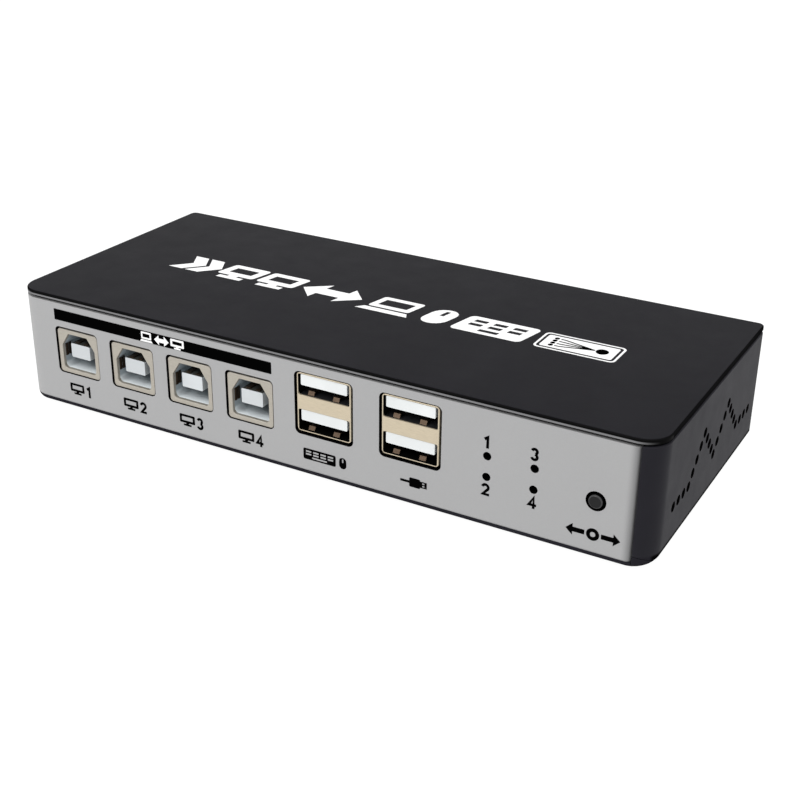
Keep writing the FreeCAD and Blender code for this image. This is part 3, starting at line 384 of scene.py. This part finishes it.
# ---------------------------------------------------------------- faces with a second material
# Limits in mm; a face's direction is told by the cosine between its normal and an axis.
PANEL_SKIN = 0.05
OPENINGS_X = (-70.0, 70.0)
OPENINGS_Z = (5.0, 26.0)
PANEL_BACK_X = 72.0
VENTS_Y = (-26.0, 29.5)
VENTS_Z = (9.0, 21.0)
LID_EDGE_HEIGHT = 1.3
LID_FRONT_DEPTH = 6.0
DOUBLE_TONGUE_DEPTH = 11.5
DOUBLE_TONGUE_HALF_WIDTH = 5.7
DOUBLE_BAND_HALF_HEIGHT = 1.7
DOUBLE_CORE_FOOT = 2.0
DOUBLE_RIM_DEPTH = 0.5
DOUBLE_INSIDE_HALF_WIDTH = 6.5
DOUBLE_INSIDE_HALF_HEIGHT = 6.6
SQUARE_TONGUE_DEPTH = 8.0
SQUARE_TONGUE_HALF_WIDTH = 2.8
SQUARE_TONGUE_HALF_HEIGHT = 1.8
SQUARE_TONGUE_RISE = 0.25
SQUARE_TONGUE_TOP = (1.0, 2.1)


def paint(name, material, wanted):
    """Gives a node's faces another material where wanted(centre in mm, normal) is true."""
    mesh = NODES[name].data
    mesh.materials.append(material)
    slot = len(mesh.materials) - 1
    for face in mesh.polygons:
        if wanted(face.center / MM, face.normal):
            face.material_index = slot


def in_front_hole(centre, normal):
    """The walls of the openings in the front panel, and its inner face."""
    behind = centre.y > FRONT_Y + PANEL_SKIN and normal.y > 0.5 and abs(centre.x) < PANEL_BACK_X
    wall = abs(normal.y) < 0.5 and between(centre.x, OPENINGS_X) and between(centre.z, OPENINGS_Z)
    return behind or wall


def in_vent(centre, normal):
    """The walls of the vents in a side."""
    return abs(normal.x) < 0.6 and between(centre.y, VENTS_Y) and between(centre.z, VENTS_Z)


def on_lid_edge(centre, normal):
    """The lid's edge all round, with its rounding."""
    return abs(normal.z) < 0.93 and centre.z > TOP_Z - LID_EDGE_HEIGHT


def on_lid_front(centre, normal):
    """The upright part of the lid's edge along the front."""
    upright = normal.y < -0.05 and abs(normal.z) < 0.3
    return upright and centre.z > TOP_Z - LID_EDGE_HEIGHT and centre.y < FRONT_Y + LID_FRONT_DEPTH


def paint_double_socket(number):
    """White tongues in the core, and painted shade inside the shell."""
    core = "double_socket_core_%d" % number
    shell = "double_socket_shell_%d" % number
    core_low = corners(core)[0]
    shell_low, shell_high = corners(shell)
    middle = (shell_low + shell_high) / 2

    def on_tongue(centre, normal):
        return (centre.y < core_low.y + DOUBLE_TONGUE_DEPTH
                and abs(centre.z - middle.z) > DOUBLE_BAND_HALF_HEIGHT
                and abs(centre.x - middle.x) < DOUBLE_TONGUE_HALF_WIDTH
                and centre.z > core_low.z + DOUBLE_CORE_FOOT)

    def inside(centre, normal):
        return (centre.y > shell_low.y + DOUBLE_RIM_DEPTH
                and abs(centre.x - middle.x) < DOUBLE_INSIDE_HALF_WIDTH
                and abs(centre.z - middle.z) < DOUBLE_INSIDE_HALF_HEIGHT)

    paint(core, WHITE_CORE, on_tongue)
    paint(shell, SHADE, inside)


def paint_square_socket(number):
    """A pale tongue in the core with painted shade on its top face."""
    core = "square_socket_core_%d" % number
    low, high = corners(core)
    middle = (low + high) / 2

    def in_reach(centre):
        return (centre.y < low.y + SQUARE_TONGUE_DEPTH
                and abs(centre.x - middle.x) < SQUARE_TONGUE_HALF_WIDTH)

    def on_tongue(centre, normal):
        height = centre.z - middle.z - SQUARE_TONGUE_RISE
        return in_reach(centre) and abs(height) < SQUARE_TONGUE_HALF_HEIGHT

    def on_top(centre, normal):
        return in_reach(centre) and between(centre.z - middle.z, SQUARE_TONGUE_TOP) and normal.z > 0.7

    paint(core, PALE_CORE, on_tongue)
    # Painted shade on the tongue's top face.
    paint(core, TONGUE_TOP_SHADE, on_top)


def paint_faces():
    # The lid's edge all round gets painted shade.
    paint("top_cover", LID_EDGE_SHADE, on_lid_edge)
    # The upright front of the lid's edge gets painted shade with a painted highlight.
    paint("top_cover", LID_RIM_HIGHLIGHT, on_lid_front)
    # The rounding round the button's face gets the painted highlight.
    paint("button_cap", BUTTON_RIM_HIGHLIGHT, lambda centre, normal: normal.y > -0.92)
    # The button cap's side gets painted shade.
    paint("button_cap", SHADE, lambda centre, normal: normal.y > -0.1)
    # Painted shade on the walls of the front panel's openings and on its inner face.
    paint("front_panel", SHADE, in_front_hole)
    # Painted shade on the walls of the vents in both sides.
    paint("left_side", SHADE, in_vent)
    paint("right_side", SHADE, in_vent)
    for number in (1, 2):
        paint_double_socket(number)
    for number in range(1, 5):
        paint_square_socket(number)


dress_nodes()
paint_faces()


# ---------------------------------------------------------------- shapes of the printed marks
# A mark is a list of regions, and a region is an outline followed by its holes, in a plane. The
# marks below are drawn 1 high with their lower left corner at 0, and placed() gives them a size.
def box(x0, y0, x1, y1):
    return [(x0, y0), (x1, y0), (x1, y1), (x0, y1)]


def round_box(x0, y0, x1, y1, radius, steps=5):
    points = []
    for cx, cy, start in ((x1 - radius, y0 + radius, -90), (x1 - radius, y1 - radius, 0),
                          (x0 + radius, y1 - radius, 90), (x0 + radius, y0 + radius, 180)):
        for step in range(steps + 1):
            angle = math.radians(start + 90 * step / steps)
            points.append((cx + radius * math.cos(angle), cy + radius * math.sin(angle)))
    return points


def disc(x, y, radius, steps=20):
    return [(x + radius * math.cos(2 * math.pi * i / steps), y + radius * math.sin(2 * math.pi * i / steps))
            for i in range(steps)]


def bow(x, y, radius, start, end, steps=12):
    """Points along an arc, in degrees."""
    angles = [math.radians(start + (end - start) * i / steps) for i in range(steps + 1)]
    return [(x + radius * math.cos(a), y + radius * math.sin(a)) for a in angles]


def stroke(points, width):
    """The outline of a line of this width along the points, with mitred corners."""
    path = [Vector(p) for p in points]
    left = []
    right = []
    for index, point in enumerate(path):
        before = (point - path[index - 1]).normalized() if index else None
        after = (path[index + 1] - point).normalized() if index + 1 < len(path) else None
        along = ((before or after) + (after or before)).normalized()
        side = Vector((-along.y, along.x))
        reference = after or before
        reach = width / 2 / max(0.5, side.dot(Vector((-reference.y, reference.x))))
        left.append(tuple(point + side * reach))
        right.append(tuple(point - side * reach))
    return left + right[::-1]


def placed(mark, x, y, height, slant=0.0):
    """A mark drawn 1 high, scaled to this height with its lower left corner at x and y."""
    return [[[(x + (u + v * slant) * height, y + v * height) for u, v in loop] for loop in region]
            for region in mark]


NUMERALS = {
    1: [[stroke([(0.08, 0.71), (0.33, 0.89), (0.33, 0.0)], 0.23)]],
    2: [[stroke(bow(0.30, 0.68, 0.235, 170, -35) + [(0.11, 0.11), (0.62, 0.11)], 0.22)]],
    3: [[stroke(bow(0.28, 0.72, 0.20, 165, -70), 0.22)], [stroke(bow(0.28, 0.295, 0.215, 80, -165), 0.22)]],
    4: [[stroke([(0.42, 0.0), (0.42, 0.92), (0.06, 0.3), (0.64, 0.3)], 0.21)]]}


def screen_mark(width):
    """A screen on a foot."""
    middle = width / 2
    return [[round_box(0.0, 0.25, width, 1.0, 0.09), box(0.22, 0.46, width - 0.22, 0.8)],
            [box(middle - 0.14, 0.16, middle + 0.14, 0.25)], [box(middle - 0.38, 0.0, middle + 0.38, 0.16)]]


def keyboard_mark(width, columns):
    """A solid keyboard with two rows of keys and a long one left open."""
    edge = 0.15
    gap = 0.09
    step = (width - 2 * edge) / columns
    keys = [box(edge + step * c + gap, low, edge + step * (c + 1) - gap, low + 0.15)
            for low in (0.66, 0.41) for c in range(columns)]
    return [[round_box(0.0, 0.0, width, 1.0, 0.14), box(edge + step, 0.14, width - edge - step, 0.28)] + keys]


def mouse_mark():
    """A mouse with its wheel left open."""
    return [[round_box(0.0, 0.0, 0.68, 1.0, 0.33), box(0.28, 0.56, 0.40, 0.88)]]


def plug_mark():
    """A flat plug with its cable."""
    body = [round_box(0.75, 0.12, 1.65, 0.88, 0.1)]
    tip = [box(1.65, 0.24, 2.2, 0.76), box(1.82, 0.55, 2.0, 0.66), box(1.82, 0.34, 2.0, 0.45)]
    cable = [stroke([(0.0, 0.5), (0.75, 0.5)], 0.2)]
    return [body, tip, cable]


def arrow_mark(length, left=True, right=True):
    """A thick arrow along X with a head at either end or at both."""
    head = 0.55
    x0 = head if left else 0.0
    x1 = length - (head if right else 0.0)
    points = [(x0, 0.30), (x1, 0.30)]
    points += [(x1, 0.0), (length, 0.5), (x1, 1.0)] if right else []
    points += [(x1, 0.70), (x0, 0.70)]
    points += [(x0, 1.0), (0.0, 0.5), (x0, 0.0)] if left else []
    return [[points]]


def laptop_mark():
    """An open laptop on its base."""
    return [[round_box(0.16, 0.28, 1.34, 1.0, 0.08), box(0.33, 0.45, 1.17, 0.83)],
            [[(0.0, 0.0), (1.5, 0.0), (1.36, 0.2), (0.14, 0.2)]]]


def chevrons_mark(count, gap=0.54):
    """Chevrons in a row that point to the right."""
    return [[[(i * gap, 0.0), (i * gap + 0.42, 0.0), (i * gap + 0.78, 0.5), (i * gap + 0.42, 1.0),
              (i * gap, 1.0), (i * gap + 0.36, 0.5)]] for i in range(count)]


def switch_mark(length):
    """Four dots that lead to one."""
    heights = [0.12 + i * 0.253 for i in range(4)]
    mark = [[disc(0.12, z, 0.115, 12)] for z in heights]
    mark += [[stroke([(0.3, z), (0.5, z), (length - 0.62, 0.5)], 0.09)] for z in heights]
    return mark + [[disc(length - 0.3, 0.5, 0.28)]]


# ---------------------------------------------------------------- printed marks on the object
INK_SINK = 0.01
INK_LIFT = 0.02
OVERPRINT_LIFT = 0.035
SOCKET_LABEL_Z = 4.7
SOCKET_LABEL_HEIGHT = 2.8
BAND = (-67.3, 22.8, -7.3, 25.5)
BAND_MARK_Z = 22.9
BAND_MARK_HEIGHT = 2.35
ICON_HEIGHT = 2.6
KEYBOARD_Z = 5.0
DEVICE_MARK = (23.9, 5.1)
DEVICE_MARK_HEIGHT = 2.8
BUTTON_ARROW_Z = 4.95
BUTTON_RING = (66.0, 6.25)
BUTTON_RING_RADII = (1.35, 0.55)
LAMP_NUMERALS = ((42.3, 18.7), (42.3, 8.2), (52.35, 18.7), (52.35, 8.2))
LAMP_NUMERAL_HEIGHT = 2.7
LID_MARK_Y = -4.1
LID_MARK_HEIGHT = 8.8
LID_MARK_SLANT = 0.2
BADGE_MARK = (41.4, -2.3)
BADGE_MARK_HEIGHT = 5.0
VIDEO_MARK_Z = 18.4
VIDEO_MARK_HEIGHT = 2.4
POWER_LINE_Z = (24.3, 24.7)
POWER_DASH_Z = (23.3, 23.7)

# From a mark's plane to the surface that it is printed on.
UPRIGHT = Matrix.Rotation(math.pi / 2, 4, "X")
PRINT_PLANES = {
    "lid": Matrix.Translation((0, 0, TOP_Z * MM)),
    "front": Matrix.Translation((0, FRONT_Y * MM, 0)) @ UPRIGHT,
    "back": Matrix.Translation((0, BACK_Y * MM, 0)) @ Matrix.Rotation(math.pi, 4, "Z") @ UPRIGHT}


def add_print(name, regions, material, face, lift_mm=INK_LIFT):
    """Prints a mark on the 'front', the 'back' or the 'lid' as thin closed plates of ink."""
    work = bmesh.new()
    for region in regions:
        loops = [[Vector((u * MM, v * MM, 0.0)) for u, v in loop] for loop in region]
        points = [point for loop in loops for point in loop]
        sunk = [work.verts.new(point + Vector((0, 0, -INK_SINK * MM))) for point in points]
        proud = [work.verts.new(point + Vector((0, 0, lift_mm * MM))) for point in points]
        for triangle in tessellate_polygon(loops):
            work.faces.new([proud[i] for i in triangle])
            work.faces.new([sunk[i] for i in reversed(triangle)])
        start = 0
        for loop in loops:
            for i in range(len(loop)):
                a = start + i
                b = start + (i + 1) % len(loop)
                work.faces.new((sunk[a], sunk[b], proud[b], proud[a]))
            start += len(loop)
    bmesh.ops.recalc_face_normals(work, faces=work.faces)
    work.transform(PRINT_PLANES[face])
    mesh = bpy.data.meshes.new(name)
    work.to_mesh(mesh)
    work.free()
    mesh.materials.append(material)
    piece = bpy.data.objects.new(name, mesh)
    bpy.context.scene.collection.objects.link(piece)
    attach(piece, "case")


def print_socket_labels():
    """A screen and a number below each square socket."""
    for number in range(1, 5):
        x = middle_x("square_socket_shell_%d" % number)
        mark = placed(screen_mark(1.5), x - 3.4, SOCKET_LABEL_Z, SOCKET_LABEL_HEIGHT)
        mark += placed(NUMERALS[number], x + 1.4, SOCKET_LABEL_Z, SOCKET_LABEL_HEIGHT)
        add_print("socket_mark_%d" % number, mark, BLACK_INK, "front")


def print_band():
    """The black bar above the square sockets, with a laptop, an arrow and a screen on it."""
    add_print("band", [[round_box(*BAND, 0.2)]], BLACK_INK, "front")
    mark = []
    for x, shape in ((-42.3, laptop_mark()), (-38.3, arrow_mark(1.7)), (-33.8, screen_mark(1.55))):
        mark += placed(shape, x, BAND_MARK_Z, BAND_MARK_HEIGHT)
    add_print("band_mark", mark, WHITE_INK, "front", OVERPRINT_LIFT)


def print_icons():
    """The marks below the double sockets and the button, and the lamps' numbers."""
    mark = placed(keyboard_mark(3.1, 4), 0.3, KEYBOARD_Z, ICON_HEIGHT)
    mark += placed(mouse_mark(), 9.2, KEYBOARD_Z, ICON_HEIGHT)
    add_print("keyboard_mouse_mark", mark, BLACK_INK, "front")
    add_print("device_mark", placed(plug_mark(), *DEVICE_MARK, DEVICE_MARK_HEIGHT), BLACK_INK, "front")
    mark = placed(arrow_mark(1.5, right=False), 60.4, BUTTON_ARROW_Z, ICON_HEIGHT)
    mark += [[disc(*BUTTON_RING, radius) for radius in BUTTON_RING_RADII]]
    mark += placed(arrow_mark(1.5, left=False), 67.7, BUTTON_ARROW_Z, ICON_HEIGHT)
    add_print("button_mark", mark, BLACK_INK, "front")
    for number, (x, z) in enumerate(LAMP_NUMERALS, 1):
        mark = placed(NUMERALS[number], x, z, LAMP_NUMERAL_HEIGHT)
        add_print("lamp_mark_%d" % number, mark, BLACK_INK, "front")


def print_lid():
    """A slanted line of marks on the lid, and a badge at its end."""
    groups = ((-57.0, chevrons_mark(2)), (-44.8, screen_mark(1.15)), (-33.6, screen_mark(1.15)),
              (-22.0, arrow_mark(1.8)), (-4.6, laptop_mark()), (10.8, mouse_mark()),
              (19.0, keyboard_mark(1.9, 3)))
    mark = [region for x, shape in groups
            for region in placed(shape, x, LID_MARK_Y, LID_MARK_HEIGHT, LID_MARK_SLANT)]
    add_print("lid_marks", mark, WHITE_INK, "lid")
    outline = [round_box(38.7, -4.0, 57.0, 4.5, 1.2), round_box(39.2, -3.5, 56.5, 4.0, 0.8)]
    plate = [round_box(39.8, -2.9, 55.9, 3.4, 0.5)]
    add_print("lid_badge", [outline, plate], WHITE_INK, "lid")
    mark = placed(switch_mark(2.6), *BADGE_MARK, BADGE_MARK_HEIGHT)
    add_print("lid_badge_mark", mark, BLACK_INK, "lid", OVERPRINT_LIFT)


def print_back():
    """A screen over each video socket, with a number for an input or an arrow for the output."""
    for number in range(1, 6):
        x = -middle_x("video_socket_shell_%d" % number)
        mark = placed(screen_mark(1.5), x - 2.6, VIDEO_MARK_Z, VIDEO_MARK_HEIGHT)
        if number < 5:
            mark += placed(NUMERALS[number], x + 1.6, VIDEO_MARK_Z, VIDEO_MARK_HEIGHT)
        else:
            mark += placed(arrow_mark(1.3, left=False), x - 7.0, VIDEO_MARK_Z, VIDEO_MARK_HEIGHT)
        add_print("video_mark_%d" % number, mark, WHITE_INK, "back")


def print_power_mark():
    """The direct current sign over the power inlet: a line over three dashes."""
    x = -middle_x("power_jack_body")
    low, high = POWER_LINE_Z
    mark = [[box(x - 2.4, low, x + 2.4, high)]]
    low, high = POWER_DASH_Z
    mark += [[box(x + start, low, x + end, high)] for start, end in ((-2.4, -1.2), (-0.6, 0.6), (1.2, 2.4))]
    add_print("power_mark", mark, WHITE_INK, "back")


print_socket_labels()
print_band()
print_icons()
print_lid()
print_back()
print_power_mark()


# ---------------------------------------------------------------- stage, lights, camera
# The camera looks at AIM; its azimuth runs from the front towards +X.
AZIMUTH, ELEVATION, ROLL = (math.radians(degrees) for degrees in (29.073, 25.554, 0.68))
AIM = Vector((5.045, 0.0, 6.095)) * MM
DISTANCE = 305.83 * MM
SENSOR_WIDTH = 36.0
FOCAL_LENGTH = 59.60

# Name, place, aim and size in metres, and power in watts.
LIGHTS = (("key", (-0.35, -0.75, 0.75), (0, 0, 0.01), (0.7, 0.5), 6.5),
          ("right_fill", (0.8, 0.1, 0.45), (0, 0, 0.01), (0.6, 0.5), 1.8),
          ("overhead", (0.1, -0.1, 1.1), (0, 0, 0.0), (1.2, 1.2), 9.0))
WORLD_STRENGTH = 0.30

# The floor glows a little below white, which hides its shadows; its rim hides the horizon.
FLOOR_GLOW = 0.97
FLOOR_RINGS = ((0.6, 0.0), (2.6, 0.0), (3.2, 0.08), (3.7, 0.32), (4.0, 0.8))
WHITE = (1.0, 1.0, 1.0, 1.0)


def make_camera():
    back = Vector((math.sin(AZIMUTH) * math.cos(ELEVATION), -math.cos(AZIMUTH) * math.cos(ELEVATION),
                   math.sin(ELEVATION)))
    side = Vector((math.cos(AZIMUTH), math.sin(AZIMUTH), 0.0))
    up = back.cross(side)
    right = side * math.cos(ROLL) + up * math.sin(ROLL)
    top = up * math.cos(ROLL) - side * math.sin(ROLL)
    data = bpy.data.cameras.new("camera")
    data.sensor_width = SENSOR_WIDTH
    data.lens = FOCAL_LENGTH
    data.clip_start = 0.01
    data.clip_end = 20.0
    camera = bpy.data.objects.new("camera", data)
    camera.matrix_world = Matrix((right, top, back)).transposed().to_4x4()
    camera.location = AIM + back * DISTANCE
    bpy.context.scene.collection.objects.link(camera)
    bpy.context.scene.camera = camera


def area_light(name, place, aim, size, power):
    data = bpy.data.lights.new(name, "AREA")
    data.shape = "RECTANGLE"
    data.size, data.size_y = size
    data.energy = power
    light = bpy.data.objects.new(name, data)
    light.location = place
    light.rotation_euler = (Vector(aim) - Vector(place)).to_track_quat("-Z", "Y").to_euler()
    bpy.context.scene.collection.objects.link(light)


def dish(rings, steps=48):
    """A flat disc whose rim curves up, from (radius, height) rings in metres."""
    turns = [2 * math.pi * i / steps for i in range(steps)]
    points = [(radius * math.cos(t), radius * math.sin(t), height) for radius, height in rings for t in turns]
    faces = [tuple(range(steps))]
    for ring in range(len(rings) - 1):
        for i in range(steps):
            a = ring * steps + i
            b = ring * steps + (i + 1) % steps
            faces.append((a, a + steps, b + steps, b))
    return points, [], faces


def make_floor():
    look = Look("floor", (0.12, 0.12, 0.12), 0.9, specular=0.1)
    look.shader.inputs["Emission Color"].default_value = WHITE
    look.shader.inputs["Emission Strength"].default_value = FLOOR_GLOW
    look.tint(look.noise(40.0), (0.11, 0.11, 0.11))
    mesh = bpy.data.meshes.new("floor")
    mesh.from_pydata(*dish(FLOOR_RINGS))
    mesh.materials.append(look.done())
    floor = bpy.data.objects.new("floor", mesh)
    bpy.context.scene.collection.objects.link(floor)


def make_light():
    world = bpy.data.worlds.new("studio")
    bpy.context.scene.world = world
    world.use_nodes = True
    background = world.node_tree.nodes["Background"]
    background.inputs["Color"].default_value = WHITE
    background.inputs["Strength"].default_value = WORLD_STRENGTH
    for light in LIGHTS:
        area_light(*light)
    bpy.context.scene.view_settings.view_transform = "Standard"


make_floor()
make_light()
make_camera()
